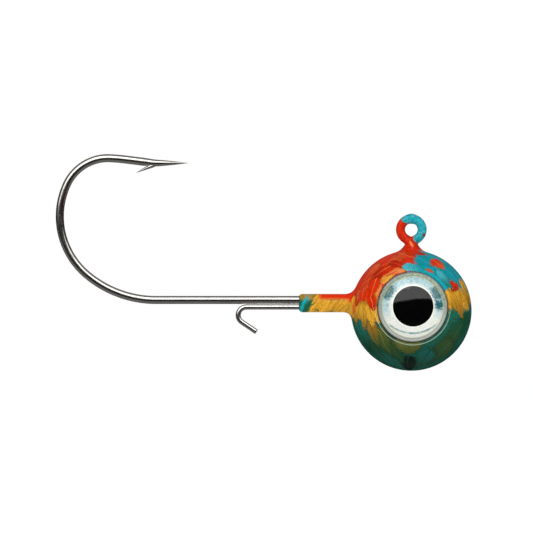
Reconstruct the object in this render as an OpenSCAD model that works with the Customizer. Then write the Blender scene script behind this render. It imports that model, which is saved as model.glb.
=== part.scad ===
// Round-head jig with moulded-in hook and bait keeper, millimetres, +Z up, nose towards +X.
// The origin is the centre of the line tie's hole.

/* [Head] */
// Radius of the cast ball
ball_r = 7.7; // [7.4:0.1:8.4]
// Depth of the ball's centre below the line tie's centre
ball_drop = 10.4; // [10.3:0.05:10.5]
// Radius of the collar that carries the wires out of the ball
collar_r = 1.13; // [1.05:0.01:1.3]
// Distance of the collar's back end behind the line tie
collar_end = 14.4; // [13:0.1:16]
// Height of the collar's axis above the ball's centre
collar_rise = 0.95; // [0.8:0.05:1.05]
// Thickness of the painted and lacquered finish
coat_t = 0.05; // [0.03:0.01:0.08]

/* [Hook] */
// Diameter of the hook wire
wire_d = 1.05; // [1:0.01:1.1]
// Centreline radius of the line tie
tie_r = 1.39; // [1.37:0.01:1.42]
// Height of the shank's centreline above the ball's centre
shank_rise = 1.35; // [1.3:0.05:1.4]
// Distance behind the line tie at which the shank starts to bend
shank_end = 32.8; // [30:0.2:36]
// Radius of the first part of the bend
bend_a_r = 13.8; // [12.5:0.1:15]
// Radius of the middle part of the bend
bend_b_r = 9.8; // [9:0.1:11]
// Radius of the last part of the bend
bend_c_r = 5.8; // [5:0.1:6.5]
// Length of the straight point leg
point_len = 10; // [9:0.5:12]

/* [Keeper] */
// Diameter of the bait keeper's wire
keeper_d = 0.66; // [0.6:0.01:0.7]
// Distance behind the line tie at which the keeper starts to curl
keeper_end = 21.2; // [20:0.2:23]
// Centreline radius of the keeper's curl
curl_r = 1.05; // [0.95:0.05:1.1]
// Length of the keeper's straight barb
keeper_tag = 2; // [1.5:0.1:2.5]

/* [Eyes] */
// Diameter of one moulded eye
eye_d = 9; // [8.6:0.1:9.2]
// Radius of the pupil
pupil_r = 2.58; // [2:0.01:3]
// Height of the eye's clear dome
dome_h = 1.95; // [1.7:0.05:2.1]

/* [Hidden] */
$fn = 96;
cast_gap = 0.01;
knit = 0.004;
wire_r = wire_d / 2;
keeper_r = keeper_d / 2;
ball_z = -ball_drop;
shank_z = ball_z + shank_rise;
collar_z = ball_z + collar_rise;

// line tie: a flat loop whose two ends turn aside, cross and run down into the ball
land_r = tie_r - wire_r + 0.02;
reverse_r = 2.1;
cross_x = 0.42;
aside = 32;
tie_open = asin((reverse_r - cross_x) / (tie_r + reverse_r));
cross_turn = 90 - tie_open;
run_on = reverse_r * sin(cross_turn);
run_down = reverse_r * (1 - cos(cross_turn));
leg_top_x = (tie_r + run_down) * sin(tie_open) - run_on * cos(tie_open) * cos(aside);
leg_top_y = run_on * sin(aside);
leg_top_z = -(tie_r + run_down) * cos(tie_open) - run_on * sin(tie_open) * cos(aside);
lean = asin(sin(aside) * cos(cross_turn));
leg_x = -leg_top_x;
leg_bend_r = 1.7;
leg_low_z = shank_z + leg_bend_r;
tag_len = 2.2;
// the leg leans back to the middle plane in two gentle bends
sway_r = 1.5;
sway = 18;
sway_y = leg_top_y + sway_r * (cos(sway) - cos(lean));
sway_z = leg_top_z - sway_r * (sin(lean) + sin(sway));
sway_len = (sway_y - sway_r * (1 - cos(sway))) / sin(sway);
settle_z = sway_z - sway_len * cos(sway) - sway_r * sin(sway);

// neck under the line tie
neck_r = 0.95;
neck_root_r = 1.5;
neck_h = 0.62;
neck_sunk = 0.25;
collar_round = 0.45;

// hook bend: three tangent arcs
bend_a_turn = 40;
bend_b_turn = 75;
bend_c_turn = 68;
turn_ab = bend_a_turn + bend_b_turn;
turn_abc = turn_ab + bend_c_turn;
a_x = -shank_end;
a_z = shank_z + bend_a_r;
b_x = a_x - (bend_a_r - bend_b_r) * sin(bend_a_turn);
b_z = a_z - (bend_a_r - bend_b_r) * cos(bend_a_turn);
c_x = b_x - (bend_b_r - bend_c_r) * sin(turn_ab);
c_z = b_z - (bend_b_r - bend_c_r) * cos(turn_ab);
leg_x0 = c_x - bend_c_r * sin(turn_abc);
leg_z0 = c_z - bend_c_r * cos(turn_abc);
taper_len = 7.2;
barb_at = 5.0;
barb_len = 2.0;

// keeper
keeper_z = shank_z - wire_r - keeper_r - 0.05;
keeper_in = 9.5;
tag_angle = 34;
tag_x = -keeper_end - curl_r * sin(tag_angle);
tag_z = keeper_z - curl_r * (1 + cos(tag_angle));

// eyes
eye_x = 0.1;
eye_z = ball_z + 0.45;
eye_r = eye_d / 2;
socket_r = eye_r + 0.05;
socket_y = 5.72;
adhesive_t = 0.1;
foil_t = 0.08;
pupil_t = 0.03;
edge_h = 0.3;
cap_h = dome_h - edge_h;
cap_r = (eye_r * eye_r + cap_h * cap_h) / (2 * cap_h);

// an arc of wire in the XZ plane, from angle "start" through "turn", measured from +X towards +Z
module wire_arc(radius, start, turn, r) {
    rotate([90, 0, 0])
        rotate([0, 0, start])
            rotate_extrude(angle = turn)
                translate([radius, 0])
                    circle(r = r);
}

// seamless joints between neighbouring lengths of wire
module knots(points, r) {
    for (p = points)
        translate(p)
            sphere(r = r + knit);
}

// the end of the loop on the +X side, turned aside towards +Y as it reverses into the neck
module tie_end(r) {
    rotate([0, -tie_open, 0])
        translate([0, 0, -tie_r])
            rotate([0, 0, -aside])
                translate([0, 0, -reverse_r])
                    wire_arc(reverse_r, 90, cross_turn, r);
    knots([[tie_r * sin(tie_open), 0, -tie_r * cos(tie_open)],
           [leg_top_x, leg_top_y, leg_top_z]], r);
}

module tie_wire(r) {
    wire_arc(tie_r, tie_open - 90, 360 - 2 * tie_open, r);
    tie_end(r);
    rotate([0, 0, 180])
        tie_end(r);
}

// an arc of wire in the YZ plane, from angle "start" through "turn", measured from +Y towards +Z
module side_arc(radius, start, turn, r) {
    rotate([90, 0, 90])
        rotate([0, 0, start])
            rotate_extrude(angle = turn)
                translate([radius, 0])
                    circle(r = r);
}

// leg that runs down into the shank, and the short tag end beside it
module buried_wire(r) {
    translate([-leg_x, leg_top_y - sway_r * cos(lean), leg_top_z - sway_r * sin(lean)])
        side_arc(sway_r, -sway, sway + lean, r);
    translate([-leg_x, sway_y, sway_z])
        rotate([180 - sway, 0, 0])
            cylinder(r = r, h = sway_len);
    translate([-leg_x, sway_r, settle_z])
        side_arc(sway_r, 180 - sway, sway, r);
    translate([-leg_x, 0, leg_low_z])
        cylinder(r = r, h = settle_z - leg_low_z);
    translate([-leg_x - leg_bend_r, 0, leg_low_z])
        wire_arc(leg_bend_r, -90, 90, r);
    translate([leg_x, -leg_top_y, leg_top_z])
        rotate([180 - lean, 0, 0])
            cylinder(r = r, h = tag_len);
    knots([[-leg_x, sway_y, sway_z],
           [-leg_x, sway_y - sway_len * sin(sway), sway_z - sway_len * cos(sway)],
           [-leg_x, 0, settle_z],
           [-leg_x, 0, leg_low_z],
           [-leg_x - leg_bend_r, 0, shank_z]], r);
}

module shank_wire(r) {
    translate([-leg_x - leg_bend_r, 0, shank_z])
        rotate([0, -90, 0])
            cylinder(r = r, h = shank_end - leg_x - leg_bend_r);
}

module bend_wire(r) {
    translate([a_x, 0, a_z])
        wire_arc(bend_a_r, -90 - bend_a_turn, bend_a_turn, r);
    translate([b_x, 0, b_z])
        wire_arc(bend_b_r, -90 - turn_ab, bend_b_turn, r);
    translate([c_x, 0, c_z])
        wire_arc(bend_c_r, -90 - turn_abc, bend_c_turn, r);
    knots([[a_x, 0, shank_z],
           [a_x - bend_a_r * sin(bend_a_turn), 0, a_z - bend_a_r * cos(bend_a_turn)],
           [b_x - bend_b_r * sin(turn_ab), 0, b_z - bend_b_r * cos(turn_ab)],
           [leg_x0, 0, leg_z0]], r);
}

// straight point leg, its long ground taper and the lifted barb
module point_wire() {
    translate([leg_x0, 0, leg_z0])
        rotate([0, 90 + turn_abc - 180, 0]) {
            cylinder(r = wire_r, h = point_len - taper_len);
            translate([0, 0, point_len - taper_len])
                rotate_extrude()
                    polygon([[0, 0], [wire_r, 0], [wire_r * 0.86, taper_len * 0.45],
                             [wire_r * 0.5, taper_len * 0.8], [0.03, taper_len], [0, taper_len]]);
            translate([wire_r * 0.62, 0, point_len - barb_at])
                rotate([0, 180 + 16, 0])
                    cylinder(r1 = 0.34, r2 = 0.03, h = barb_len);
        }
}

module hook() {
    color("silver")
        difference() {
            union() {
                tie_wire(wire_r);
                buried_wire(wire_r);
                shank_wire(wire_r);
                bend_wire(wire_r);
                point_wire();
            }
            // land left by the forming mandrel inside the line tie
            rotate([90, 0, 0])
                cylinder(r = land_r, h = 2.4, center = true);
        }
}

// keeper wire: straight run under the shank, curl, and a barb that points forward
module keeper_wire(r) {
    translate([-keeper_in, 0, keeper_z])
        rotate([0, -90, 0])
            cylinder(r = r, h = keeper_end - keeper_in);
    translate([-keeper_end, 0, keeper_z - curl_r])
        wire_arc(curl_r, 90, 180 - tag_angle, r);
    translate([tag_x, 0, tag_z])
        rotate([0, 90 + tag_angle, 0])
            cylinder(r = r, h = keeper_tag);
    knots([[-keeper_end, 0, keeper_z],
           [tag_x, 0, tag_z]], r);
}

module bait_keeper() {
    color("gainsboro")
        keeper_wire(keeper_r);
}

// ball, collar and neck as one casting body, grown outward by "grow"
module cast_body(grow) {
    translate([0, 0, ball_z])
        sphere(r = ball_r + grow);
    // collar with a rounded end
    translate([0, 0, collar_z])
        rotate([0, -90, 0])
            rotate_extrude()
                difference() {
                    square([collar_r + grow, collar_end + grow]);
                    translate([collar_r + grow - collar_round, collar_end + grow - collar_round])
                        difference() {
                            square(2 * collar_round);
                            circle(r = collar_round);
                        }
                }
    // flared neck under the line tie
    translate([0, 0, ball_z + ball_r - neck_sunk])
        cylinder(r1 = neck_root_r + grow, r2 = neck_r + grow, h = neck_sunk + neck_h + grow);
}

module socket(side) {
    translate([eye_x, side * socket_y, eye_z])
        rotate([side * -90, 0, 0])
            cylinder(r = socket_r, h = 4);
}

module ball_casting() {
    color("dimgray")
        difference() {
            cast_body(0);
            tie_wire(wire_r + cast_gap);
            buried_wire(wire_r + cast_gap);
            shank_wire(wire_r + cast_gap);
            keeper_wire(keeper_r + cast_gap);
            socket(1);
            socket(-1);
        }
}

// finish over the head, open at the eyes, the wires and the neck's top
module finish_coat() {
    color("firebrick")
        difference() {
            cast_body(coat_t);
            cast_body(0);
            translate([0, 0, ball_z + ball_r + neck_h - 0.2])
                cylinder(r = 2, h = 1);
            shank_wire(wire_r + cast_gap);
            keeper_wire(keeper_r + cast_gap);
            socket(1);
            socket(-1);
        }
}

// places an eye layer at a distance from the middle plane, facing outward
module on_side(side, y) {
    translate([eye_x, side * y, eye_z])
        rotate([side * -90, 0, 0])
            children();
}

module eye_adhesive(side) {
    color("gray")
        on_side(side, socket_y)
            cylinder(r = eye_r - 0.2, h = adhesive_t);
}

module eye_foil(side) {
    color("white")
        on_side(side, socket_y + adhesive_t)
            cylinder(r = eye_r, h = foil_t);
}

module eye_pupil(side) {
    color("black")
        on_side(side, socket_y + adhesive_t + foil_t)
            cylinder(r = pupil_r, h = pupil_t);
}

module eye_dome(side) {
    color("lightcyan")
        on_side(side, socket_y + adhesive_t + foil_t)
            difference() {
                union() {
                    cylinder(r = eye_r, h = edge_h);
                    intersection() {
                        translate([0, 0, edge_h + cap_h - cap_r])
                            sphere(r = cap_r);
                        cylinder(r = eye_r, h = dome_h + 1);
                    }
                }
                translate([0, 0, -1])
                    cylinder(r = pupil_r, h = 1 + pupil_t);
            }
}

module left_eye_adhesive() { eye_adhesive(-1); }
module left_eye_foil() { eye_foil(-1); }
module left_eye_pupil() { eye_pupil(-1); }
module left_eye_dome() { eye_dome(-1); }
module right_eye_adhesive() { eye_adhesive(1); }
module right_eye_foil() { eye_foil(1); }
module right_eye_pupil() { eye_pupil(1); }
module right_eye_dome() { eye_dome(1); }

ball_casting();
hook();
bait_keeper();
finish_coat();
left_eye_adhesive();
left_eye_foil();
left_eye_pupil();
left_eye_dome();
right_eye_adhesive();
right_eye_foil();
right_eye_pupil();
right_eye_dome();
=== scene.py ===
import math

import bmesh
import bpy
import numpy as np
from mathutils import Matrix, Vector


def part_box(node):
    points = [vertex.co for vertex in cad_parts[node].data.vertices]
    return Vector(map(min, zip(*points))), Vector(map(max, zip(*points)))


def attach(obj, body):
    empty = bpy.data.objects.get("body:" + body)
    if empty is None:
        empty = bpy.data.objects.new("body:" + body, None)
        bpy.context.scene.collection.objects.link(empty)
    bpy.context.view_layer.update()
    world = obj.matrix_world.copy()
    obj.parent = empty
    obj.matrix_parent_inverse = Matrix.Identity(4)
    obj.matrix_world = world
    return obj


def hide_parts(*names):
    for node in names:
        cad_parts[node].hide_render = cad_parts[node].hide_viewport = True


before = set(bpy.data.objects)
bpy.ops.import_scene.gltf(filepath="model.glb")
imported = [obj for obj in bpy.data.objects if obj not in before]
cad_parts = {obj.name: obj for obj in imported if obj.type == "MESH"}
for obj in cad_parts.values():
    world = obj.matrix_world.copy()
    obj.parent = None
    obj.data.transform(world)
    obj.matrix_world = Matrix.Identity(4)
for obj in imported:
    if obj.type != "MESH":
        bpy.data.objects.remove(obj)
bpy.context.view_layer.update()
MM = 0.001

# ---------------------------------------------------------------- sizes, in millimetres
COAT_LO, COAT_HI = (np.array(v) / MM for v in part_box("finish_coat"))
DOME_LO, DOME_HI = (np.array(v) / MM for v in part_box("left_eye_dome"))
SKIN_R = COAT_HI[0]
BALL = np.array([0.0, 0.0, COAT_LO[2] + SKIN_R])
COLLAR_Z = BALL[2] + 0.95
COLLAR_END = COAT_LO[0]
COLLAR_R = 1.18
COLLAR_ROUND = 0.45
BALL_TOP = BALL[2] + SKIN_R
NECK_R = 0.98
NECK_SLOPE = 0.4
WIRE_R = 0.525
COAT_T = 0.06
EYE = np.array([(DOME_LO[0] + DOME_HI[0]) / 2, 0.0, (DOME_LO[2] + DOME_HI[2]) / 2])
EYE_R = (DOME_HI[0] - DOME_LO[0]) / 2
FOIL_Y = -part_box("left_eye_foil")[0].y / MM
DOME_TOP = -DOME_LO[1]
PUPIL_R = 2.6
PUPIL_AT = EYE + np.array([0.06, 0.0, 0.11])
AXIS_R = 0.02
LIP_R = 4.86
LIP_T = 0.17
FLOOR_Z = COAT_LO[2] - 14.0

# hook, from the line tie to the point
TIE_R = 1.39
REVERSE_R = 2.1
CROSS_X = 0.42
ASIDE = math.radians(32)
TIE_OPEN = math.asin((REVERSE_R - CROSS_X) / (TIE_R + REVERSE_R))
LEAN = math.asin(math.sin(ASIDE) * math.sin(TIE_OPEN))
SHANK_Z = BALL[2] + 1.35
LEG_BEND_R = 1.7
SWAY_R = 1.5
SWAY = math.radians(18)
SHANK_END = 32.8
BENDS = ((13.8, 40), (9.8, 75), (5.8, 68))
DROOP_R, DROOP_TURN, DROOP_LEN = 30, 4, 3.1
LEVEL_R, LEVEL_TURN, POINT_LEN = 8, 7, 3.85
POINT_TAPER = 6.0
TIP_R = 0.02
TAG_LEN = 2.2

# bait keeper
KEEPER_R = 0.33
KEEPER_START = 9.5
KEEPER_END = 21.2
CURL_R = 1.05
KEEPER_BARB_ANGLE = 34
KEEPER_BARB_LEN = 2.3


# ---------------------------------------------------------------- wire routes
def rotated(v, axis, angle):
    return np.array(Matrix.Rotation(angle, 3, Vector(axis)) @ Vector(v))


class Route:
    """Walks along a wire: straight runs and arcs, with a point every short step."""

    def __init__(self, start, heading, step=0.12):
        self.points = [np.array(start, float)]
        self.heading = np.array(heading, float) / np.linalg.norm(heading)
        self.step = step

    def straight(self, length):
        n = max(2, int(length / (4 * self.step)))
        start = self.points[-1]
        for k in range(1, n + 1):
            self.points.append(start + self.heading * length * k / n)
        return self

    def arc(self, radius, degrees, axis):
        angle = math.radians(degrees)
        n = max(4, int(radius * angle / self.step))
        side = np.cross(axis, self.heading)
        side /= np.linalg.norm(side)
        centre = self.points[-1] + side * radius
        arm = self.points[-1] - centre
        heading = self.heading
        for k in range(1, n + 1):
            self.points.append(centre + rotated(arm, axis, angle * k / n))
        self.heading = rotated(heading, axis, angle)
        return self


def tie_side(sign):
    """Half of the flat line tie, from its top down to where its leg begins.

    With sign +1 it is the +X half, which ends at +Y.
    """
    r = Route((0, 0, TIE_R), (sign, 0, 0), 0.08)
    r.arc(TIE_R, 180 - math.degrees(TIE_OPEN), (0, sign, 0))
    outward = r.points[-1] / TIE_R
    r.heading = math.cos(ASIDE) * r.heading + math.sin(ASIDE) * np.array((0.0, sign, 0.0))
    r.arc(REVERSE_R, 90 - math.degrees(TIE_OPEN), np.cross(r.heading, outward))
    r.heading = np.array((0.0, sign * math.sin(LEAN), -math.cos(LEAN)))
    return r


def hook_route():
    leg = tie_side(1)
    leg.arc(SWAY_R, math.degrees(LEAN + SWAY), (-1, 0, 0))
    low = leg.points[-1]
    leg.straight((low[1] - SWAY_R * (1 - math.cos(SWAY))) / math.sin(SWAY))
    leg.arc(SWAY_R, math.degrees(SWAY), (1, 0, 0))
    leg.straight(leg.points[-1][2] - SHANK_Z - LEG_BEND_R)
    leg.arc(LEG_BEND_R, 90, (0, 1, 0))
    leg.straight(SHANK_END + leg.points[-1][0])
    for radius, turn in BENDS:
        leg.arc(radius, turn, (0, 1, 0))
    leg.arc(DROOP_R, DROOP_TURN, (0, 1, 0)).straight(DROOP_LEN)
    leg.arc(LEVEL_R, LEVEL_TURN, (0, -1, 0)).straight(POINT_LEN)
    tag = tie_side(-1)
    tag.straight(TAG_LEN)
    return tag.points[::-1] + leg.points[1:]


def keeper_route():
    z = SHANK_Z - WIRE_R - KEEPER_R - 0.05
    r = Route((-KEEPER_START, 0, z), (-1, 0, 0), 0.1)
    r.straight(KEEPER_END - KEEPER_START)
    r.arc(CURL_R, 180 - KEEPER_BARB_ANGLE, (0, -1, 0))
    r.straight(KEEPER_BARB_LEN)
    return r.points


# ---------------------------------------------------------------- mesh helpers
def new_object(name, verts_mm, faces, smooth=True):
    mesh = bpy.data.meshes.new(name)
    mesh.from_pydata([tuple(v) for v in np.asarray(verts_mm) * MM], [], faces)
    mesh.validate()
    if smooth:
        mesh.shade_smooth()
    obj = bpy.data.objects.new(name, mesh)
    bpy.context.scene.collection.objects.link(obj)
    return obj


def resample(points, step):
    p = np.array(points)
    s = np.r_[0, np.cumsum(np.linalg.norm(np.diff(p, axis=0), axis=1))]
    keep = np.r_[True, np.diff(s) > 1e-6]
    p, s = p[keep], s[keep]
    n = int(s[-1] / step)
    t = np.linspace(0, s[-1], n + 1)
    return np.c_[[np.interp(t, s, p[:, k]) for k in range(3)]].T, t, s[-1]


def band_faces(rings, sides):
    """Quads between rings of points that follow one another."""
    faces = []
    for i in range(rings - 1):
        for k in range(sides):
            j = (k + 1) % sides
            faces.append((i * sides + k, i * sides + j, (i + 1) * sides + j, (i + 1) * sides + k))
    return faces


def wire_rings(path, radii, sides):
    """Rings of points square to the path, twisted as little as possible."""
    tangent = np.gradient(path, axis=0)
    tangent /= np.linalg.norm(tangent, axis=1)[:, None]
    normal = np.cross(tangent[0], (0, 1, 0))
    if np.linalg.norm(normal) < 0.1:
        normal = np.cross(tangent[0], (1, 0, 0))
    verts = []
    for centre, ahead, r in zip(path, tangent, radii):
        normal = normal - ahead * (normal @ ahead)
        normal /= np.linalg.norm(normal)
        other = np.cross(ahead, normal)
        for k in range(sides):
            a = 2 * math.pi * k / sides
            verts.append(centre + r * (math.cos(a) * normal + math.sin(a) * other))
    return verts


def sweep(name, points, radius_at, sides=28, step=0.16):
    """A round wire along the points; radius_at takes the length left.

    Its UVs are millimetres along the wire and turns around it.
    """
    p, t, total = resample(points, step)
    verts = wire_rings(p, [radius_at(total - s) for s in t], sides)
    last = (len(p) - 1) * sides
    faces = band_faces(len(p), sides)
    faces.append(tuple(range(sides))[::-1])
    faces.append(tuple(last + k for k in range(sides)))
    obj = new_object(name, verts, faces)
    layer = obj.data.uv_layers.new(name="wire")
    corners = [(t[i + ahead], (k + round_) / sides) for i in range(len(p) - 1) for k in range(sides)
               for ahead, round_ in ((0, 0), (0, 1), (1, 1), (1, 0))]
    for loop, corner in enumerate(corners):
        layer.data[loop].uv = corner
    return obj


def lathe(name, profile, side, axis=EYE, segments=160):
    """Turns (radius, height) points about the eye's axis, facing outward on that side.

    A height is the distance from y = 0.
    """
    verts = []
    for r, h in profile:
        for k in range(segments):
            a = 2 * math.pi * k / segments
            verts.append((axis[0] + r * math.cos(a), side * h, axis[2] + r * math.sin(a)))
    last = (len(profile) - 1) * segments
    faces = band_faces(len(profile), segments)
    faces.append(tuple(range(segments)))
    faces.append(tuple(last + k for k in range(segments))[::-1])
    obj = new_object(name, verts, faces)
    fix_normals(obj)
    return obj


def fix_normals(obj):
    b = bmesh.new()
    b.from_mesh(obj.data)
    bmesh.ops.recalc_face_normals(b, faces=b.faces)
    b.to_mesh(obj.data)
    b.free()


# ---------------------------------------------------------------- the painted skin as a distance field
def smin(a, b, k):
    h = np.clip(0.5 + 0.5 * (b - a) / k, 0, 1)
    return b + (a - b) * h - k * h * (1 - h)


def smax(a, b, k):
    return -smin(-a, -b, k)


TIE_PATHS = [np.array(tie_side(s).points)[::2] for s in (1, -1)]


def wire_distance(p, path):
    best = np.full(len(p), 1e9)
    for a, b in zip(path[:-1], path[1:]):
        ab = b - a
        t = np.clip(((p - a) @ ab) / (ab @ ab), 0, 1)
        best = np.minimum(best, np.linalg.norm(p - a - t[:, None] * ab, axis=1))
    return best


def collar_distance(p):
    """The collar, with a rounded end."""
    across = np.hypot(p[:, 1], p[:, 2] - COLLAR_Z) - (COLLAR_R - COLLAR_ROUND)
    along = np.abs(p[:, 0] - COLLAR_END / 2) - (-COLLAR_END / 2 - COLLAR_ROUND)
    outside = np.hypot(np.maximum(across, 0), np.maximum(along, 0))
    return outside + np.minimum(np.maximum(across, along), 0) - COLLAR_ROUND


def neck_distance(p):
    """The neck under the line tie, which flares towards the ball."""
    x, y, z = p.T
    flare = NECK_R + NECK_SLOPE * (BALL_TOP + 0.55 - z)
    neck = (np.hypot(x, y) - flare) / math.hypot(1, NECK_SLOPE)
    return smax(smax(neck, z - BALL_TOP - 0.62, 0.3), BALL_TOP - 1.2 - z, 0.3)


def tie_distance(p):
    one, two = (wire_distance(p, path) for path in TIE_PATHS)
    return smin(one, two, 0.32) - WIRE_R - COAT_T


def lip_distance(p, rho):
    """The soft lip round each recess, which follows the ball's surface."""
    rise = EYE[2] - BALL[2]
    lift = (p[:, 2] - EYE[2]) / np.maximum(rho, 0.1) * LIP_R + rise
    lip_y = np.sqrt(np.maximum(SKIN_R ** 2 - lift ** 2 - (LIP_R ** 2 - (lift - rise) ** 2), 1))
    return np.hypot(rho - LIP_R, np.abs(p[:, 1]) - lip_y) - LIP_T


def skin_distance(p):
    """How far outside the painted skin each point lies; the last number of a blend is its reach."""
    d = np.linalg.norm(p - BALL, axis=1) - SKIN_R
    d = smin(d, collar_distance(p), 1.1)
    d = smin(d, neck_distance(p), 0.8)
    near = p[:, 2] > BALL_TOP - 1.6
    if near.any():
        d[near] = smin(d[near], tie_distance(p[near]), 0.45)
    rho = np.hypot(p[:, 0] - EYE[0], p[:, 2] - EYE[2])
    d = smin(d, lip_distance(p, rho), 0.1)
    socket = np.maximum(rho - (EYE_R + 0.05), FOIL_Y - 0.14 - np.abs(p[:, 1]))
    return smax(d, -socket, 0.16)


def mixed_cells(inside):
    """The grid cells that have corners on both sides of the surface."""
    size = [n - 1 for n in inside.shape]
    corners = np.zeros(size, int)
    for i, j, k in np.ndindex(2, 2, 2):
        corners += inside[i:size[0] + i, j:size[1] + j, k:size[2] + k]
    return (corners > 0) & (corners < 8)


def cell_points(d, cell, step):
    """In each cell, the mean of the places where the surface crosses the cell's edges."""
    total, count = np.zeros((len(cell), 3)), np.zeros(len(cell))
    for a in (np.array(c) for c in np.ndindex(2, 2, 2)):
        for axis in np.flatnonzero(a == 0):
            b = a.copy()
            b[axis] = 1
            da, db = d[tuple((cell + a).T)], d[tuple((cell + b).T)]
            cross = (da < 0) != (db < 0)
            t = np.where(cross, da / np.where(cross, da - db, 1), 0)
            point = cell + a + t[:, None] * (b - a)
            total[cross] += point[cross]
            count[cross] += 1
    return step * total / count[:, None]


def settle(v, step):
    """Moves the points along the distance's slope until they lie on the surface."""
    e = 0.01
    for _ in range(4):
        grad = np.stack([(skin_distance(v + e * u) - skin_distance(v - e * u)) / (2 * e)
                         for u in np.eye(3)], -1)
        move = skin_distance(v)[:, None] * grad / np.maximum((grad ** 2).sum(1), 0.2)[:, None]
        v = v - np.clip(move, -step, step)
    return v


def net_faces(inside, index):
    """A quad round each grid edge that the surface crosses, through the four cells beside it."""
    faces = []
    for axis, u, w in ((0, 1, 2), (1, 2, 0), (2, 0, 1)):
        edge = inside != np.roll(inside, -1, axis)
        edge[tuple(-1 if k == axis else slice(None) for k in range(3))] = False
        e = np.argwhere(edge)
        e = e[(e[:, u] > 0) & (e[:, w] > 0)]
        quad = []
        for du, dw in ((1, 1), (0, 1), (0, 0), (1, 0)):
            c = e.copy()
            c[:, u] -= du
            c[:, w] -= dw
            quad.append(index[tuple(c.T)])
        quad = np.array(quad).T
        turned = ~inside[tuple(e.T)]
        quad[turned] = quad[turned][:, ::-1]
        faces.append(quad)
    return np.concatenate(faces)


def surface_nets(step):
    """The painted skin as a mesh: one point in each crossed cell of a grid, joined by quads."""
    lo = np.array([COLLAR_END, -SKIN_R, COAT_LO[2]]) - 3 * step
    hi = np.array([SKIN_R, SKIN_R, TIE_R + WIRE_R + COAT_T]) + 3 * step
    axes = [np.arange(a, b + step, step) for a, b in zip(lo, hi)]
    g = np.stack(np.meshgrid(*axes, indexing="ij"), -1).reshape(-1, 3)
    d = np.concatenate([skin_distance(c) for c in np.array_split(g, 24)])
    d = d.reshape([len(a) for a in axes])
    inside = d < 0
    mixed = mixed_cells(inside)
    index = -np.ones(mixed.shape, int)
    index[mixed] = np.arange(mixed.sum())
    v = settle(lo + cell_points(d, np.argwhere(mixed), step), step)
    return v, net_faces(inside, index)


# ---------------------------------------------------------------- material helpers
class Nodes:
    """Short names for building a node tree."""

    def __init__(self, tree):
        self.tree = tree

    def add(self, kind, **values):
        n = self.tree.nodes.new(kind)
        for key, value in values.items():
            setattr(n, key, value)
        return n

    def put(self, socket, value):
        if isinstance(value, bpy.types.NodeSocket):
            self.tree.links.new(value, socket)
        elif value is not None:
            socket.default_value = value

    def math(self, op, a, b=None, c=None, clamp=False):
        n = self.add("ShaderNodeMath", operation=op, use_clamp=clamp)
        for s, v in zip(n.inputs, (a, b, c)):
            self.put(s, v)
        return n.outputs[0]

    def vec(self, op, a, b=None):
        n = self.add("ShaderNodeVectorMath", operation=op)
        self.put(n.inputs[0], a)
        self.put(n.inputs[1], b)
        return n.outputs["Value" if op in ("LENGTH", "DOT_PRODUCT") else "Vector"]

    def mix(self, factor, a, b, blend="MIX"):
        n = self.add("ShaderNodeMix", data_type="RGBA", blend_type=blend)
        self.put(n.inputs[0], factor)
        self.put(n.inputs[6], a)
        self.put(n.inputs[7], b)
        return n.outputs[2]

    def band(self, value, low, high, to_low=0.0, to_high=1.0, smooth=True):
        n = self.add("ShaderNodeMapRange", interpolation_type="SMOOTHSTEP" if smooth else "LINEAR")
        for s, v in zip(n.inputs, (value, low, high, to_low, to_high)):
            self.put(s, v)
        return n.outputs[0]

    def noise(self, vector, scale, detail=2.0, roughness=0.5, dims="3D", w=None):
        n = self.add("ShaderNodeTexNoise", noise_dimensions=dims)
        if dims != "1D":
            self.put(n.inputs["Vector"], vector)
        if w is not None:
            self.put(n.inputs["W"], w)
        self.put(n.inputs["Scale"], scale)
        self.put(n.inputs["Detail"], detail)
        self.put(n.inputs["Roughness"], roughness)
        return n.outputs["Fac"]

    def place(self):
        """The place on the object, in millimetres."""
        return self.vec("MULTIPLY", self.add("ShaderNodeTexCoord").outputs["Object"], (1 / MM,) * 3)

    def split(self, vector):
        n = self.add("ShaderNodeSeparateXYZ")
        self.put(n.inputs[0], vector)
        return n.outputs

    def join(self, x, y, z=0.0):
        n = self.add("ShaderNodeCombineXYZ")
        for s, v in zip(n.inputs, (x, y, z)):
            self.put(s, v)
        return n.outputs[0]

    def bump(self, height, distance, strength=1.0, normal=None):
        n = self.add("ShaderNodeBump")
        self.put(n.inputs["Height"], height)
        self.put(n.inputs["Distance"], distance)
        self.put(n.inputs["Strength"], strength)
        self.put(n.inputs["Normal"], normal)
        return n.outputs[0]

    def radius(self, x, z):
        """How far x and z are from nothing."""
        return self.vec("LENGTH", self.join(x, 0.0, z))

    def stray(self, value, noise, amount):
        """A value that strays from its place with the noise."""
        return self.math("ADD", value, self.math("MULTIPLY", self.math("SUBTRACT", noise, 0.5), amount))

    def line(self, value, at, core, fade, strength=1.0):
        """Strength where the value is within core of that place, and nothing beyond fade."""
        away = self.math("ABSOLUTE", self.math("SUBTRACT", value, at))
        return self.band(away, core, fade, strength, 0.0)

    def shade(self, colour, tone):
        """A colour made darker or lighter by a number."""
        return self.mix(1.0, colour, self.join(tone, tone, tone), "MULTIPLY")


class Material(Nodes):
    """A new material with its Principled shader."""

    def __init__(self, name):
        self.mat = bpy.data.materials.new(name)
        self.mat.use_nodes = True
        super().__init__(self.mat.node_tree)
        self.shader = next(n for n in self.tree.nodes if n.type == "BSDF_PRINCIPLED")

    def set(self, **values):
        for key, value in values.items():
            self.put(self.shader.inputs[key.replace("_", " ")], value)
        return self.mat


def srgb(*channels):
    return tuple(((c / 255 + 0.055) / 1.055) ** 2.4 if c > 10 else c / 255 / 12.92
                 for c in channels) + (1.0,)


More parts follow.
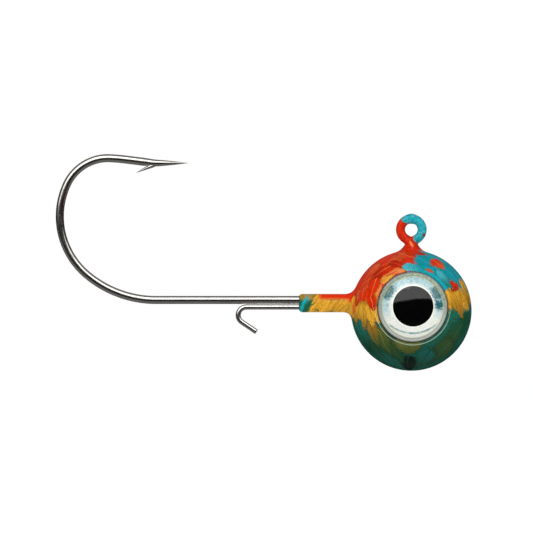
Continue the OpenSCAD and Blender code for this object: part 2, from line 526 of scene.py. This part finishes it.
SCARLET = srgb(220, 48, 10)
SCARLET_DARK = srgb(178, 32, 6)
CORAL = srgb(226, 82, 36)
ORANGE = srgb(236, 132, 62)
TEAL = srgb(10, 154, 166)
TEAL_PALE = srgb(72, 184, 196)
GOLD = srgb(228, 166, 48)
GOLD_DARK = srgb(164, 118, 32)
OLIVE = srgb(98, 104, 44)
GREEN = srgb(28, 88, 58)
GREEN_DARK = srgb(8, 38, 28)
SEA = srgb(32, 112, 98)
MOSS = srgb(66, 94, 46)
CREAM = srgb(240, 170, 100)
BARK = srgb(60, 40, 24)
LICHEN = srgb(128, 132, 66)
RUSSET = srgb(186, 104, 74)

# Feathers from the lowest layer to the highest: place across and up from the ball's centre (mm, as
# seen from the side), the way the tip points (degrees), half length, half width, colour near the
# root, colour near the tip, colour of the quill.
FEATHERS = (
    (-6.2, -3.4, -70, 3.0, 1.3, SEA, GREEN, GREEN_DARK),
    (-3.6, -5.8, -60, 3.0, 1.3, GREEN, SEA, GREEN_DARK),
    (6.6, -2.6, -100, 3.0, 1.3, GREEN, SEA, GREEN_DARK),
    (5.2, -3.6, -128, 3.2, 1.5, GREEN, MOSS, OLIVE),
    (3.4, -5.6, -135, 3.0, 1.5, MOSS, GREEN, SEA),
    (1.4, -6.4, -115, 2.4, 1.2, SEA, GREEN, GREEN_DARK),
    (-0.4, -7.0, -90, 2.2, 1.1, GREEN_DARK, GREEN_DARK, GREEN),
    (-2.2, -5.2, -62, 2.8, 1.1, MOSS, GREEN, OLIVE),
    (-3.6, -4.0, -68, 2.4, 1.0, OLIVE, MOSS, LICHEN),
    (-4.9, -3.0, -72, 2.3, 0.85, GOLD_DARK, OLIVE, BARK),
    (-0.4, -4.5, -84, 1.5, 1.75, LICHEN, OLIVE, MOSS),
    (7.0, 2.3, -72, 2.6, 0.9, GOLD, GOLD_DARK, BARK),
    (7.6, -0.4, -95, 2.0, 0.9, SEA, GREEN, GREEN_DARK),
    (5.9, 1.1, -68, 2.7, 0.9, GOLD, GOLD_DARK, BARK),
    (5.1, 1.3, -58, 1.7, 0.6, GOLD, GOLD_DARK, GOLD),
    (-7.2, -0.4, -84, 1.9, 0.8, GOLD, GOLD_DARK, BARK),
    (-6.2, -0.7, -88, 2.2, 0.75, GOLD, GOLD_DARK, BARK),
    (-5.3, -0.4, -80, 2.0, 0.8, GOLD, GOLD, GOLD_DARK),
    (-4.7, -0.3, -70, 1.5, 0.6, GOLD, GOLD, GOLD_DARK),
    (-7.4, 0.8, -80, 1.6, 0.7, GOLD, CORAL, GOLD_DARK),
    (-3.6, 3.9, -135, 2.3, 0.6, GOLD, ORANGE, ORANGE),
    (-4.7, 2.2, -115, 1.6, 0.6, ORANGE, GOLD, ORANGE),
    (-6.9, 1.6, -110, 1.5, 0.9, CORAL, SCARLET_DARK, ORANGE),
    (-6.2, 2.7, -95, 1.9, 0.9, CORAL, SCARLET, ORANGE),
    (-5.1, 1.0, -75, 1.2, 0.75, SCARLET, SCARLET_DARK, ORANGE),
    (-5.9, 3.9, -125, 1.9, 1.1, CORAL, SCARLET, ORANGE),
    (-4.9, 3.0, -100, 1.6, 0.9, SCARLET, SCARLET, ORANGE),
    (-5.2, 5.0, -130, 2.0, 1.1, CORAL, SCARLET, ORANGE),
    (-3.6, 5.2, -150, 2.1, 1.1, SCARLET, SCARLET_DARK, ORANGE),
    (-2.2, 5.0, -165, 1.9, 0.5, ORANGE, CORAL, CREAM),
    (-2.6, 6.4, -150, 2.0, 1.0, CORAL, SCARLET, ORANGE),
    (-1.6, 5.9, -25, 1.8, 0.6, SCARLET_DARK, SCARLET, CORAL),
    (0.3, 5.5, -10, 1.7, 0.7, TEAL_PALE, TEAL, TEAL_PALE),
    (-0.6, 7.1, -30, 1.8, 1.1, CORAL, SCARLET, ORANGE),
    (1.6, 6.4, -35, 1.6, 1.1, TEAL, TEAL, TEAL_PALE),
    (2.3, 5.1, -35, 0.6, 0.34, RUSSET, RUSSET, CORAL),
    (3.6, 7.0, -35, 2.2, 0.7, TEAL_PALE, TEAL, TEAL_PALE),
    (5.2, 5.9, -50, 2.2, 0.7, TEAL_PALE, TEAL, TEAL_PALE),
    (6.8, 4.0, -62, 2.2, 0.9, TEAL, TEAL, TEAL_PALE),
    (5.4, 3.2, -120, 1.2, 0.8, SCARLET, SCARLET_DARK, CORAL),
    (4.3, 4.0, -50, 1.9, 0.6, TEAL_PALE, SEA, TEAL_PALE),
    (5.0, 4.7, -50, 2.2, 1.15, TEAL, TEAL, TEAL_PALE),
    (3.4, 6.0, -40, 1.3, 1.15, SCARLET, CORAL, ORANGE),
    (0.7, 7.4, -12, 1.9, 0.9, SCARLET, SCARLET_DARK, CORAL),
)


def wrapped(x, z):
    """Where a point seen from the side lies when the ball's surface is laid out flat from the eye."""
    rho = min(math.hypot(x, z), SKIN_R * 0.999)
    out = SKIN_R * math.asin(rho / SKIN_R) / max(rho, 1e-6)
    return x * out, z * out


def feather_shape(n, a, b, side, sizes, seed):
    """How far inside its outline a place is, with the noises of its frays and streaks."""
    length, width = sizes
    # barbs sweep back from the quill, so fraying and streaks follow them
    barb = n.math("ADD", n.math("MULTIPLY", a, length),
                  n.math("MULTIPLY", n.math("MULTIPLY", side, width), -0.9))
    barb = n.math("ADD", barb, n.math("MULTIPLY", n.math("SIGN", b), 17.3))
    barb = n.math("ADD", barb, seed)
    fray = n.noise(None, 4.4, 3.0, 0.75, "1D", barb)
    streak = n.noise(None, 8.0, 3.0, 0.8, "1D", barb)
    taper = n.math("DIVIDE", side, n.math("SUBTRACT", 1.0, n.math("MULTIPLY", a, 0.5)))
    end = n.math("POWER", n.math("ABSOLUTE", a), 2.6)
    inside = n.math("SUBTRACT", 1.0, n.math("ADD", end, n.math("POWER", taper, 1.9)))
    return n.stray(inside, fray, 2.3), fray, streak


def feather_group():
    """Node group that lays one feather over a colour."""
    g = bpy.data.node_groups.new("feather", "ShaderNodeTree")
    face = g.interface
    for kind, name in (("Vector", "Flat"), ("Color", "Under"), ("Vector", "Place"),
                       ("Vector", "Turn"), ("Vector", "Size"), ("Float", "Seed"),
                       ("Color", "Root"), ("Color", "Tip"), ("Color", "Quill")):
        face.new_socket(name=name, in_out="INPUT", socket_type="NodeSocket" + kind)
    face.new_socket(name="Color", in_out="OUTPUT", socket_type="NodeSocketColor")
    face.new_socket(name="Flat", in_out="OUTPUT", socket_type="NodeSocketVector")
    n = Nodes(g)
    inp = n.add("NodeGroupInput").outputs
    out = n.add("NodeGroupOutput").inputs
    m = n.add("ShaderNodeMapping", vector_type="TEXTURE")
    for socket, name in (("Vector", "Flat"), ("Location", "Place"), ("Rotation", "Turn"), ("Scale", "Size")):
        n.put(m.inputs[socket], inp[name])
    a, b, _ = n.split(m.outputs[0])
    length, width, _ = n.split(inp["Size"])
    side = n.math("ABSOLUTE", b)
    inside, fray, streak = feather_shape(n, a, b, side, (length, width), inp["Seed"])
    mask = n.band(inside, 0.0, 0.16)
    shadow = n.band(inside, -0.5, 0.02, 1.0, 0.66)
    colour = n.mix(n.band(a, -0.7, 0.8), inp["Root"], inp["Tip"])
    colour = n.shade(colour, n.band(streak, 0.28, 0.72, 0.42, 1.35, False))
    colour = n.shade(colour, n.band(inside, 0.05, 0.4, 0.86, 1.0))
    quill = n.math("MULTIPLY", n.math("MULTIPLY", side, width), n.math("ADD", 1.0, n.band(a, -0.6, 0.9)))
    quill = n.math("ADD", quill, n.math("MULTIPLY", n.band(fray, 0.55, 0.7), 0.03))
    colour = n.mix(n.band(quill, 0.03, 0.1, 0.75, 0.0), colour, inp["Quill"])
    n.put(out["Color"], n.mix(mask, n.shade(inp["Under"], shadow), colour))
    # a trace of the mask rides on the place, so that the feathers are worked out one after another
    trace = n.vec("MULTIPLY", n.join(mask, mask), (1e-7, 1e-7, 0))
    n.put(out["Flat"], n.vec("ADD", inp["Flat"], trace))
    return g


def laid_out(n, p, rel):
    """The ball's surface laid out flat from the eye, a little warped."""
    x, y, z = n.split(rel)
    rho = n.math("MAXIMUM", n.radius(x, z), 0.001)
    out = n.vec("LENGTH", rel)
    turn = n.math("ARCTAN2", rho, n.math("ABSOLUTE", y))
    stretch = n.math("DIVIDE", n.math("MULTIPLY", out, turn), rho)
    flat = n.join(n.math("MULTIPLY", x, stretch), n.math("MULTIPLY", z, stretch))
    warp = n.add("ShaderNodeTexNoise")
    n.put(warp.inputs["Vector"], p)
    n.put(warp.inputs["Scale"], 0.9)
    shift = n.vec("SUBTRACT", warp.outputs["Color"], (0.5, 0.5, 0.5))
    return n.vec("ADD", flat, n.vec("MULTIPLY", shift, (0.7, 0.7, 0)))


def plumage(n, p, flat):
    """Under the feathers: dark green below, gold in the middle, red behind and teal ahead above."""
    u, v, _ = n.split(flat)
    rough = n.noise(p, 1.4, 4.0, 0.65)
    level = n.stray(v, rough, 3.0)
    level = n.math("SUBTRACT", level, n.band(u, 3.6, 5.2, 0.0, 1.7))
    fine = n.noise(n.vec("MULTIPLY", flat, (5.0, 1.0, 1.0)), 1.6, 3.0, 0.7)
    low = n.mix(n.band(fine, 0.35, 0.65), GREEN, SEA)
    middle = n.mix(n.band(fine, 0.35, 0.65), GOLD_DARK, GOLD)
    high = n.mix(n.band(n.math("ADD", u, n.math("MULTIPLY", rough, 2.0)), 0.8, 2.2), SCARLET, TEAL)
    colour = n.mix(n.band(level, -1.8, -1.0), low, middle)
    return n.mix(n.band(level, 1.2, 1.9), colour, high)


def collar_print(n, rel):
    """Gold with streaks, a red back near the ball, green and teal at the end."""
    x, y, z = n.split(rel)
    sheared = n.join(n.math("ADD", x, n.math("MULTIPLY", z, -0.9)), y, z)
    streaks = n.noise(n.vec("MULTIPLY", sheared, (3.4, 0.8, 0.8)), 1.0, 4.0, 0.7)
    gold = n.mix(n.band(streaks, 0.35, 0.62), GOLD_DARK, GOLD)
    gold = n.mix(n.band(n.noise(rel, 1.7, 3.0), 0.58, 0.66), gold, OLIVE)
    reddish = n.math("MULTIPLY", n.band(n.math("ADD", z, streaks), 1.75, 2.2), n.band(x, -12.2, -11.4))
    gold = n.mix(reddish, gold, SCARLET)
    slant = n.math("ADD", x, n.math("MULTIPLY", n.math("SUBTRACT", z, 0.95), -0.5))
    slant = n.stray(slant, streaks, 1.6)
    leaf = n.math("MULTIPLY", n.band(slant, -12.8, -12.6, 1.0, 0.0), n.band(z, 1.2, 1.6, 1.0, 0.35))
    gold = n.mix(leaf, gold, GREEN)
    stripe = n.line(slant, -13.75, 0.18, 0.3)
    gold = n.mix(n.math("MULTIPLY", stripe, n.band(z, 1.5, 1.9, 1.0, 0.45)), gold, TEAL)
    return n.mix(n.band(x, -14.4, -14.15, 0.8, 0.0), gold, GREEN)


def with_feathers(n, flat, colour):
    group = feather_group()
    for k, (fx, fz, angle, length, width, root, tip, quill) in enumerate(FEATHERS):
        f = n.add("ShaderNodeGroup")
        f.node_tree = group
        values = {"Flat": flat, "Under": colour, "Place": (*wrapped(fx, fz), 0.0),
                  "Turn": (0.0, 0.0, math.radians(angle)), "Size": (length, width, 1.0),
                  "Seed": 3.7 * k + 40.0, "Root": root, "Tip": tip, "Quill": quill}
        for key, value in values.items():
            n.put(f.inputs[key], value)
        colour, flat = f.outputs
    return colour


def tie_print(n, p):
    """Neck and line tie: red on the side towards the hook, teal on the other, with painted grey glints on
    the teal and a painted orange highlight on the red.
    """
    x, _, z = n.split(p)
    side = n.stray(x, n.noise(p, 2.2, 3.0, 0.7), 1.2)
    edge = n.math("ADD", n.band(z, -2.6, -1.2, 1.6, 0.3), n.band(z, 0.3, 1.2, 0.0, -1.6))
    red = n.mix(n.band(n.noise(p, 3.0, 3.0, 0.7), 0.3, 0.7), SCARLET_DARK, SCARLET)
    teal = n.mix(n.band(n.noise(p, 2.6, 3.0, 0.7), 0.45, 0.7), TEAL, TEAL_PALE)
    # painted glints: pale grey patches over the teal
    teal = n.mix(n.band(n.noise(p, 1.9, 4.0, 0.75), 0.56, 0.66, 0.0, 0.7), teal, srgb(150, 158, 152))
    spot = n.radius(n.math("SUBTRACT", x, 1.62), n.math("ADD", z, 0.72))
    teal = n.mix(n.band(spot, 0.12, 0.3, 1.0, 0.0), teal, srgb(120, 58, 40))
    # painted highlight: an orange streak on the red side of the tie
    up = n.math("ADD", z, 1.85)
    across = n.math("MULTIPLY", n.math("ADD", x, n.math("MULTIPLY", up, 0.5)), 2.4)
    red = n.mix(n.band(n.radius(across, up), 0.25, 0.5, 0.9, 0.0), red, ORANGE)
    return n.mix(n.band(n.math("SUBTRACT", side, edge), -0.08, 0.08), red, teal)


def painted_eye_lip_highlight(n, p, x):
    """A painted highlight: a pale line along the lip round the lower half of each eye."""
    ex, _, ez = n.split(n.vec("SUBTRACT", p, tuple(EYE)))
    ring = n.line(n.radius(ex, ez), 4.84, 0.01, 0.06)
    line = n.math("MULTIPLY", ring, n.band(ez, -2.6, 0.6, 0.6, 0.0))
    return n.math("MULTIPLY", line, n.band(x, -7.0, -6.0))


def feather_material():
    n = Material("feather_finish")
    p = n.place()
    rel = n.vec("SUBTRACT", p, tuple(BALL))
    x, _, z = n.split(rel)
    flat = laid_out(n, p, rel)
    colour = plumage(n, p, flat)
    back = n.band(x, -8.6, -7.6, 1.0, 0.0)
    colour = n.mix(back, colour, collar_print(n, rel))
    colour = with_feathers(n, flat, colour)
    colour = n.mix(n.band(z, SKIN_R - 0.35, SKIN_R + 0.1), colour, tie_print(n, p))
    # speckle of the printed pattern, and painted shade that darkens the ball towards its bottom
    colour = n.shade(colour, n.band(n.noise(p, 9.0, 3.0, 0.8), 0.25, 0.75, 0.68, 1.2, False))
    # painted shade: the ball, not the collar, made darker towards its bottom
    painted_low_shade = n.mix(n.band(z, -6.8, 0.6), (0.42, 0.5, 0.5, 1), (1, 1, 1, 1))
    colour = n.mix(n.math("SUBTRACT", 1.0, back), colour, n.mix(1.0, colour, painted_low_shade, "MULTIPLY"))
    wave = n.bump(n.noise(p, 1.1, 2.0), 0.00002, 0.3)
    # painted highlight along the lower lip of each eye
    colour = n.mix(painted_eye_lip_highlight(n, p, x), colour, srgb(186, 206, 196))
    return n.set(Base_Color=colour, Roughness=n.band(n.noise(p, 2.0), 0.3, 0.7, 0.34, 0.46), Normal=wave,
                 Specular_IOR_Level=0.04, Coat_Weight=0.16, Coat_Roughness=0.04, Coat_IOR=1.5)


def wire_material(name, tint, dark, rough):
    """Plated steel wire: fine drawing marks along it, faint stains and small pits."""
    n = Material(name)
    uv = n.add("ShaderNodeUVMap", uv_map="wire").outputs[0]
    s, around, _ = n.split(uv)
    p = n.place()
    angle = n.math("MULTIPLY", around, 2 * math.pi)
    ring = n.join(n.math("MULTIPLY", s, 0.12), n.math("MULTIPLY", n.math("COSINE", angle), 4.0),
                  n.math("MULTIPLY", n.math("SINE", angle), 4.0))
    marks = n.noise(ring, 3.0, 4.0, 0.7)
    stain = n.noise(p, 0.7, 4.0, 0.65)
    pits = n.noise(p, 6.0, 2.0, 0.5)
    colour = n.mix(n.band(stain, 0.45, 0.8, 0.0, 0.45), tint, dark)
    colour = n.mix(n.band(marks, 0.4, 0.75, 0.0, 0.18), colour, dark)
    drawn = n.band(marks, 0.3, 0.7, rough, rough + 0.1)
    roughness = n.math("ADD", drawn, n.band(stain, 0.4, 0.7, 0.0, 0.06))
    height = n.math("ADD", n.math("MULTIPLY", marks, 0.7), n.math("MULTIPLY", pits, 0.3))
    return n.set(Base_Color=colour, Metallic=1.0, Roughness=roughness, Normal=n.bump(height, 0.000008, 0.4))


def lead_material():
    n = Material("cast_lead")
    p = n.place()
    grain = n.noise(p, 1.5, 4.0, 0.6)
    colour = n.mix(grain, srgb(92, 94, 100), srgb(140, 142, 146))
    return n.set(Base_Color=colour, Metallic=1.0, Roughness=n.band(grain, 0.3, 0.7, 0.45, 0.65),
                 Normal=n.bump(n.noise(p, 4.0, 3.0), 0.00003, 0.5))


def adhesive_material():
    n = Material("adhesive_film")
    p = n.place()
    return n.set(Base_Color=n.mix(n.noise(p, 2.0, 3.0), srgb(150, 165, 150), srgb(190, 196, 180)),
                 Roughness=n.band(n.noise(p, 5.0), 0.3, 0.7, 0.4, 0.6))


# teal blotches of the iris, across and up from the eye's centre
BLOTCHES = ((-2.9, 2.3), (-3.3, 1.6), (2.9, 2.1), (3.2, 1.5), (3.4, 0.3))


def iris_line(n, p, x, z, fine):
    """A thin dark line that bows along the lower part of the iris."""
    low = n.band(z, -2.6, -2.0, 1.0, 0.0)
    bow = n.math("ADD", n.radius(x, n.math("ADD", z, -1.2)), n.math("MULTIPLY", fine, 0.16))
    line = n.math("MULTIPLY", n.line(bow, 4.62, 0.04, 0.18), low)
    return n.math("MULTIPLY", line, n.band(n.noise(p, 1.6, 3.0, 0.7), 0.3, 0.6, 0.35, 1.0))


def iris_rim(n, r, z, fine):
    """Green-grey translucent rim with a pale seam."""
    rim = n.mix(n.band(fine, 0.35, 0.65), srgb(112, 128, 112), srgb(178, 182, 164))
    rim = n.mix(n.band(z, -2.0, 1.5), srgb(176, 180, 172), rim)
    seam = n.line(r, 4.22, 0.02, 0.09, 0.7)
    rim = n.mix(n.math("MULTIPLY", seam, n.band(z, -2.4, -1.0, 1.0, 0.25)), rim, srgb(236, 236, 230))
    return n.mix(n.band(r, 4.34, 4.46), rim, srgb(122, 128, 122))


def iris_material():
    """Pearl foil: white round the pupil, pale blue and golden outside, teal blotches and a rim."""
    n = Material("iris_foil")
    p = n.place()
    x, _, z = n.split(n.vec("SUBTRACT", p, tuple(EYE)))
    r = n.radius(x, z)
    px, _, pz = n.split(n.vec("SUBTRACT", p, tuple(PUPIL_AT)))
    pupil = n.radius(px, pz)
    fine = n.noise(p, 5.0, 4.0, 0.75)
    soft = n.noise(p, 0.8, 3.0, 0.6)
    colour = n.mix(n.band(fine, 0.3, 0.7), srgb(226, 224, 218), srgb(250, 246, 240))
    blue = n.mix(n.band(fine, 0.3, 0.7), srgb(120, 172, 184), srgb(206, 224, 228))
    upper = n.math("MULTIPLY", n.band(n.stray(z, soft, 1.8), -2.4, 0.8), n.band(r, 2.75, 3.3))
    colour = n.mix(upper, colour, blue)
    for bx, bz in BLOTCHES:
        away = n.radius(n.math("SUBTRACT", x, bx), n.math("SUBTRACT", z, bz))
        colour = n.mix(n.band(n.stray(away, fine, 1.5), 0.3, 0.95, 1.0, 0.0), colour, srgb(16, 100, 110))
    fringe = n.math("MULTIPLY", n.band(r, 3.45, 3.75), n.band(fine, 0.5, 0.62))
    colour = n.mix(n.math("MULTIPLY", fringe, 0.6), colour, srgb(196, 190, 110))
    colour = n.mix(n.math("MULTIPLY", iris_line(n, p, x, z, fine), 0.85), colour, srgb(40, 128, 136))
    colour = n.mix(n.band(r, 3.88, 4.0), colour, iris_rim(n, r, z, fine))
    colour = n.mix(n.line(r, 3.93, 0.02, 0.07, 0.45), colour, srgb(206, 204, 150))
    colour = n.mix(n.band(pupil, PUPIL_R + 0.07, PUPIL_R + 0.15, 1.0, 0.0), colour, srgb(255, 253, 246))
    return n.set(Base_Color=colour, Roughness=0.35, Metallic=0.0, Coat_Weight=0.0,
                 Normal=n.bump(fine, 0.00001, 0.4))


def pupil_material():
    n = Material("pupil_black")
    p = n.place()
    return n.set(Base_Color=n.mix(n.noise(p, 3.0, 3.0), srgb(1, 1, 2), srgb(3, 3, 4)),
                 Roughness=n.band(n.noise(p, 2.0), 0.3, 0.7, 0.5, 0.6), Specular_IOR_Level=0.02)


def dome_material():
    """Clear resin: light goes straight through to the foil, and the surface adds gloss."""
    n = Material("clear_dome")
    p = n.place()
    clear = n.add("ShaderNodeBsdfTransparent")
    n.put(clear.inputs[0], n.mix(n.noise(p, 0.6, 2.0), (0.95, 0.97, 0.965, 1), (0.99, 0.995, 0.99, 1)))
    gloss = n.add("ShaderNodeBsdfGlossy")
    n.put(gloss.inputs["Roughness"], n.band(n.noise(p, 3.0, 3.0), 0.3, 0.7, 0.02, 0.05))
    fresnel = n.add("ShaderNodeFresnel")
    n.put(fresnel.inputs["IOR"], 1.5)
    n.put(fresnel.inputs["Normal"], n.bump(n.noise(p, 0.9, 2.0), 0.00001, 0.3))
    mix = n.add("ShaderNodeMixShader")
    front = n.math("SUBTRACT", 1.0, n.add("ShaderNodeNewGeometry").outputs["Backfacing"])
    n.put(mix.inputs[0], n.math("MULTIPLY", fresnel.outputs[0], front))
    n.put(mix.inputs[1], clear.outputs[0])
    n.put(mix.inputs[2], gloss.outputs[0])
    output = next(k for k in n.tree.nodes if k.type == "OUTPUT_MATERIAL")
    n.put(output.inputs["Surface"], mix.outputs[0])
    n.tree.nodes.remove(n.shader)
    return n.mat


def floor_material():
    n = Material("pale_floor")
    p = n.place()
    colour = n.mix(n.noise(p, 0.02, 2.0), (0.9, 0.9, 0.9, 1), (0.93, 0.93, 0.93, 1))
    return n.set(Base_Color=colour, Roughness=0.9, Specular_IOR_Level=0.1,
                 Emission_Color=(1, 1, 1, 1), Emission_Strength=0.5)


# ---------------------------------------------------------------- pieces
def finish(obj, material, slot, *nodes):
    obj.data.materials.clear()
    obj.data.materials.append(material)
    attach(obj, "root")
    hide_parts(*nodes)


def painted_skin():
    v, f = surface_nets(0.15)
    obj = new_object("painted_skin", v, f.tolist())
    finish(obj, feather_material(), "painted_finish", "finish_coat")


def hook_radius(left):
    """The wire's radius, which tapers to the point over the last of its length."""
    if left > POINT_TAPER:
        return WIRE_R
    return TIP_R + (WIRE_R - TIP_R) * (1 - (1 - left / POINT_TAPER) ** 1.6)


def hook_piece():
    route = hook_route()
    obj = sweep("hook_wire", route, hook_radius)
    add_barb(obj, route)
    plating = wire_material("hook_plating", srgb(205, 202, 196), srgb(120, 112, 104), 0.14)
    finish(obj, plating, "hook_steel", "hook")


# sections of the barb: along from the hook's tip, below its level, half height and half width
BARB = (
    (3.9, 0.16, 0.10, 0.20), (4.4, 0.30, 0.26, 0.34), (4.8, 0.42, 0.27, 0.36), (5.2, 0.58, 0.22, 0.32),
    (5.7, 0.80, 0.17, 0.25), (6.2, 1.03, 0.10, 0.15), (6.5, 1.17, 0.05, 0.07), (6.65, 1.24, 0.01, 0.015),
)
BARB_SIDES = 16


def barb_rings(tip):
    inner = np.array((0.0, 0.0, -1.0))
    back = np.array((-1.0, 0.0, 0.0))
    side = np.array((0.0, 1.0, 0.0))
    turns = np.linspace(0, 2 * math.pi, BARB_SIDES, endpoint=False)
    for along, below, thick, wide in BARB:
        centre = tip + back * along + inner * below
        yield [centre + inner * thick * math.sin(a) + side * wide * math.cos(a) for a in turns]


def add_barb(obj, route):
    """The barb is a sliver cut from the inner side of the point leg, thickest near its root."""
    b = bmesh.new()
    b.from_mesh(obj.data)
    layer = b.loops.layers.uv["wire"]
    made = [[b.verts.new(tuple(q * MM)) for q in ring] for ring in barb_rings(route[-1])]
    faces = []
    for one, two in zip(made[:-1], made[1:]):
        for k in range(BARB_SIDES):
            j = (k + 1) % BARB_SIDES
            faces.append(b.faces.new((one[k], one[j], two[j], two[k])))
    faces.append(b.faces.new(made[0][::-1]))
    faces.append(b.faces.new(made[-1]))
    for f in faces:
        f.smooth = True
        for loop in f.loops:
            loop[layer].uv = (loop.vert.co.x / MM, 0.25)
    bmesh.ops.recalc_face_normals(b, faces=faces)
    b.to_mesh(obj.data)
    b.free()


def keeper_radius(left):
    """The wire's radius, with its cut end slightly eased."""
    return KEEPER_R - 0.06 * max(0.0, 1 - left / 0.12)


def keeper_piece():
    obj = sweep("keeper_wire", keeper_route(), keeper_radius, 24, 0.1)
    plating = wire_material("keeper_plating", srgb(212, 210, 206), srgb(140, 134, 126), 0.16)
    finish(obj, plating, "keeper_steel", "bait_keeper")


def foil_profile():
    rim, edge, back = EYE_R - 0.06, EYE_R - 0.03, FOIL_Y - 0.08
    return [(AXIS_R, back), (rim, back), (edge, FOIL_Y - 0.05), (edge, FOIL_Y - 0.01), (rim, FOIL_Y),
            (AXIS_R, FOIL_Y)]


def pupil_profile():
    front = FOIL_Y + 0.03
    return [(AXIS_R, FOIL_Y + 0.001), (PUPIL_R, FOIL_Y + 0.001), (PUPIL_R, FOIL_Y + 0.02),
            (PUPIL_R - 0.03, front), (AXIS_R, front)]


def dome_profile():
    """From the foil out to the edge, up a short wall, round a soft shoulder and over the crown."""
    edge, crown, base = FOIL_Y + 0.3, DOME_TOP, FOIL_Y + 0.045
    sag = crown - edge
    cap_r = (EYE_R ** 2 + sag ** 2) / (2 * sag)
    pts = [(AXIS_R, base), (EYE_R - 0.05, base), (EYE_R, FOIL_Y + 0.1), (EYE_R, edge - 0.1)]
    for k in range(24, -1, -1):
        r = (EYE_R - 0.06) * (k / 24) ** 0.9
        pts.append((max(r, AXIS_R), crown - cap_r + math.sqrt(cap_r ** 2 - r ** 2)))
    return pts


def eye_pieces(side, word, materials):
    foil = lathe(word + "_iris", foil_profile(), side)
    finish(foil, materials["iris"], "eye_foil", word + "_eye_foil")
    pupil = lathe(word + "_pupil", pupil_profile(), side, PUPIL_AT)
    finish(pupil, materials["pupil"], "eye_pupil", word + "_eye_pupil")
    dome = lathe(word + "_dome", dome_profile(), side)
    finish(dome, materials["dome"], "eye_dome", word + "_eye_dome")


def carried_over():
    """The CAD nodes that stay, with their materials."""
    looks = {"ball_casting": lead_material()}
    film = adhesive_material()
    for word in ("left", "right"):
        looks[word + "_eye_adhesive"] = film
    for name, material in looks.items():
        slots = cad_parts[name].data.materials
        slots.clear()
        slots.append(material)


# ---------------------------------------------------------------- studio
FRONT_LIGHT = 2.3
BACK_LIGHT = 0.2
FLOOR_HALF = 900
LENS = 800
SENSOR = 36
VIEW_WIDTH = 68.5
VIEW_MIDDLE = (-18.61, -4.75)


def area_light(name, place, target, size, size_y, power):
    data = bpy.data.lights.new(name, "AREA")
    data.shape = "RECTANGLE"
    data.size, data.size_y = size, size_y
    data.energy = power
    data.color = (1, 1, 1)
    obj = bpy.data.objects.new(name, data)
    obj.location = place
    obj.rotation_mode = "QUATERNION"
    obj.rotation_quaternion = (Vector(target) - Vector(place)).to_track_quat("-Z", "Y")
    bpy.context.scene.collection.objects.link(obj)
    return obj


def world_light():
    """A broad softbox overhead and in front, a dimmer one behind, and a dark room below them.

    The camera sees plain white instead.
    """
    world = bpy.data.worlds.new("studio")
    bpy.context.scene.world = world
    world.use_nodes = True
    w = Nodes(world.node_tree)
    room = w.tree.nodes["Background"]
    x, y, z = w.split(w.add("ShaderNodeTexCoord").outputs["Generated"])
    rise = w.math("ARCTAN2", z, w.math("ABSOLUTE", y))
    edge = w.math("SUBTRACT", rise, w.math("MULTIPLY", x, 0.13))
    sides = w.band(w.math("ABSOLUTE", x), 0.75, 0.95, 1.0, 0.25)
    box = w.math("MULTIPLY", w.band(edge, 0.24, 0.34), sides)
    front = w.band(y, -0.46, -0.36, FRONT_LIGHT, BACK_LIGHT)
    low = w.band(rise, -0.9, -0.5, 0.2, 0.012)
    w.put(room.inputs[0], (1, 1, 1, 1))
    w.put(room.inputs[1], w.math("ADD", w.math("MULTIPLY", box, front), low))
    backdrop = w.add("ShaderNodeBackground")
    w.put(backdrop.inputs[0], (1, 1, 1, 1))
    mix = w.add("ShaderNodeMixShader")
    w.put(mix.inputs[0], w.add("ShaderNodeLightPath").outputs["Is Camera Ray"])
    w.put(mix.inputs[1], room.outputs[0])
    w.put(mix.inputs[2], backdrop.outputs[0])
    w.put(w.tree.nodes["World Output"].inputs[0], mix.outputs[0])


def studio():
    bpy.context.scene.view_settings.view_transform = "Standard"
    world_light()
    middle = (-0.005, 0, -0.008)
    area_light("key", (-0.10, -0.22, 0.26), middle, 0.16, 0.12, 0.11)
    area_light("fill", (0.05, 0.25, 0.20), middle, 0.20, 0.12, 0.18).visible_glossy = False
    corners = ((-1, -1), (1, -1), (1, 1), (-1, 1))
    floor = new_object("floor", [(FLOOR_HALF * x, FLOOR_HALF * y, FLOOR_Z) for x, y in corners],
                       [(0, 1, 2, 3)], False)
    floor.data.materials.append(floor_material())
    floor.visible_glossy = False


def camera():
    """Level with the part and square to its side, with a long lens."""
    data = bpy.data.cameras.new("camera")
    data.lens = LENS
    data.sensor_width = SENSOR
    data.clip_start, data.clip_end = 0.1, 20
    obj = bpy.data.objects.new("camera", data)
    distance = VIEW_WIDTH * MM / 2 / math.tan(math.atan(data.sensor_width / 2 / data.lens))
    across, up = VIEW_MIDDLE
    obj.location = (across * MM, -distance, up * MM)
    obj.rotation_euler = (math.radians(90), 0, 0)
    bpy.context.scene.collection.objects.link(obj)
    bpy.context.scene.camera = obj


camera()
studio()
carried_over()
painted_skin()
hook_piece()
keeper_piece()
eye_materials = {"iris": iris_material(), "pupil": pupil_material(), "dome": dome_material()}
eye_pieces(-1, "left", eye_materials)
eye_pieces(1, "right", eye_materials)
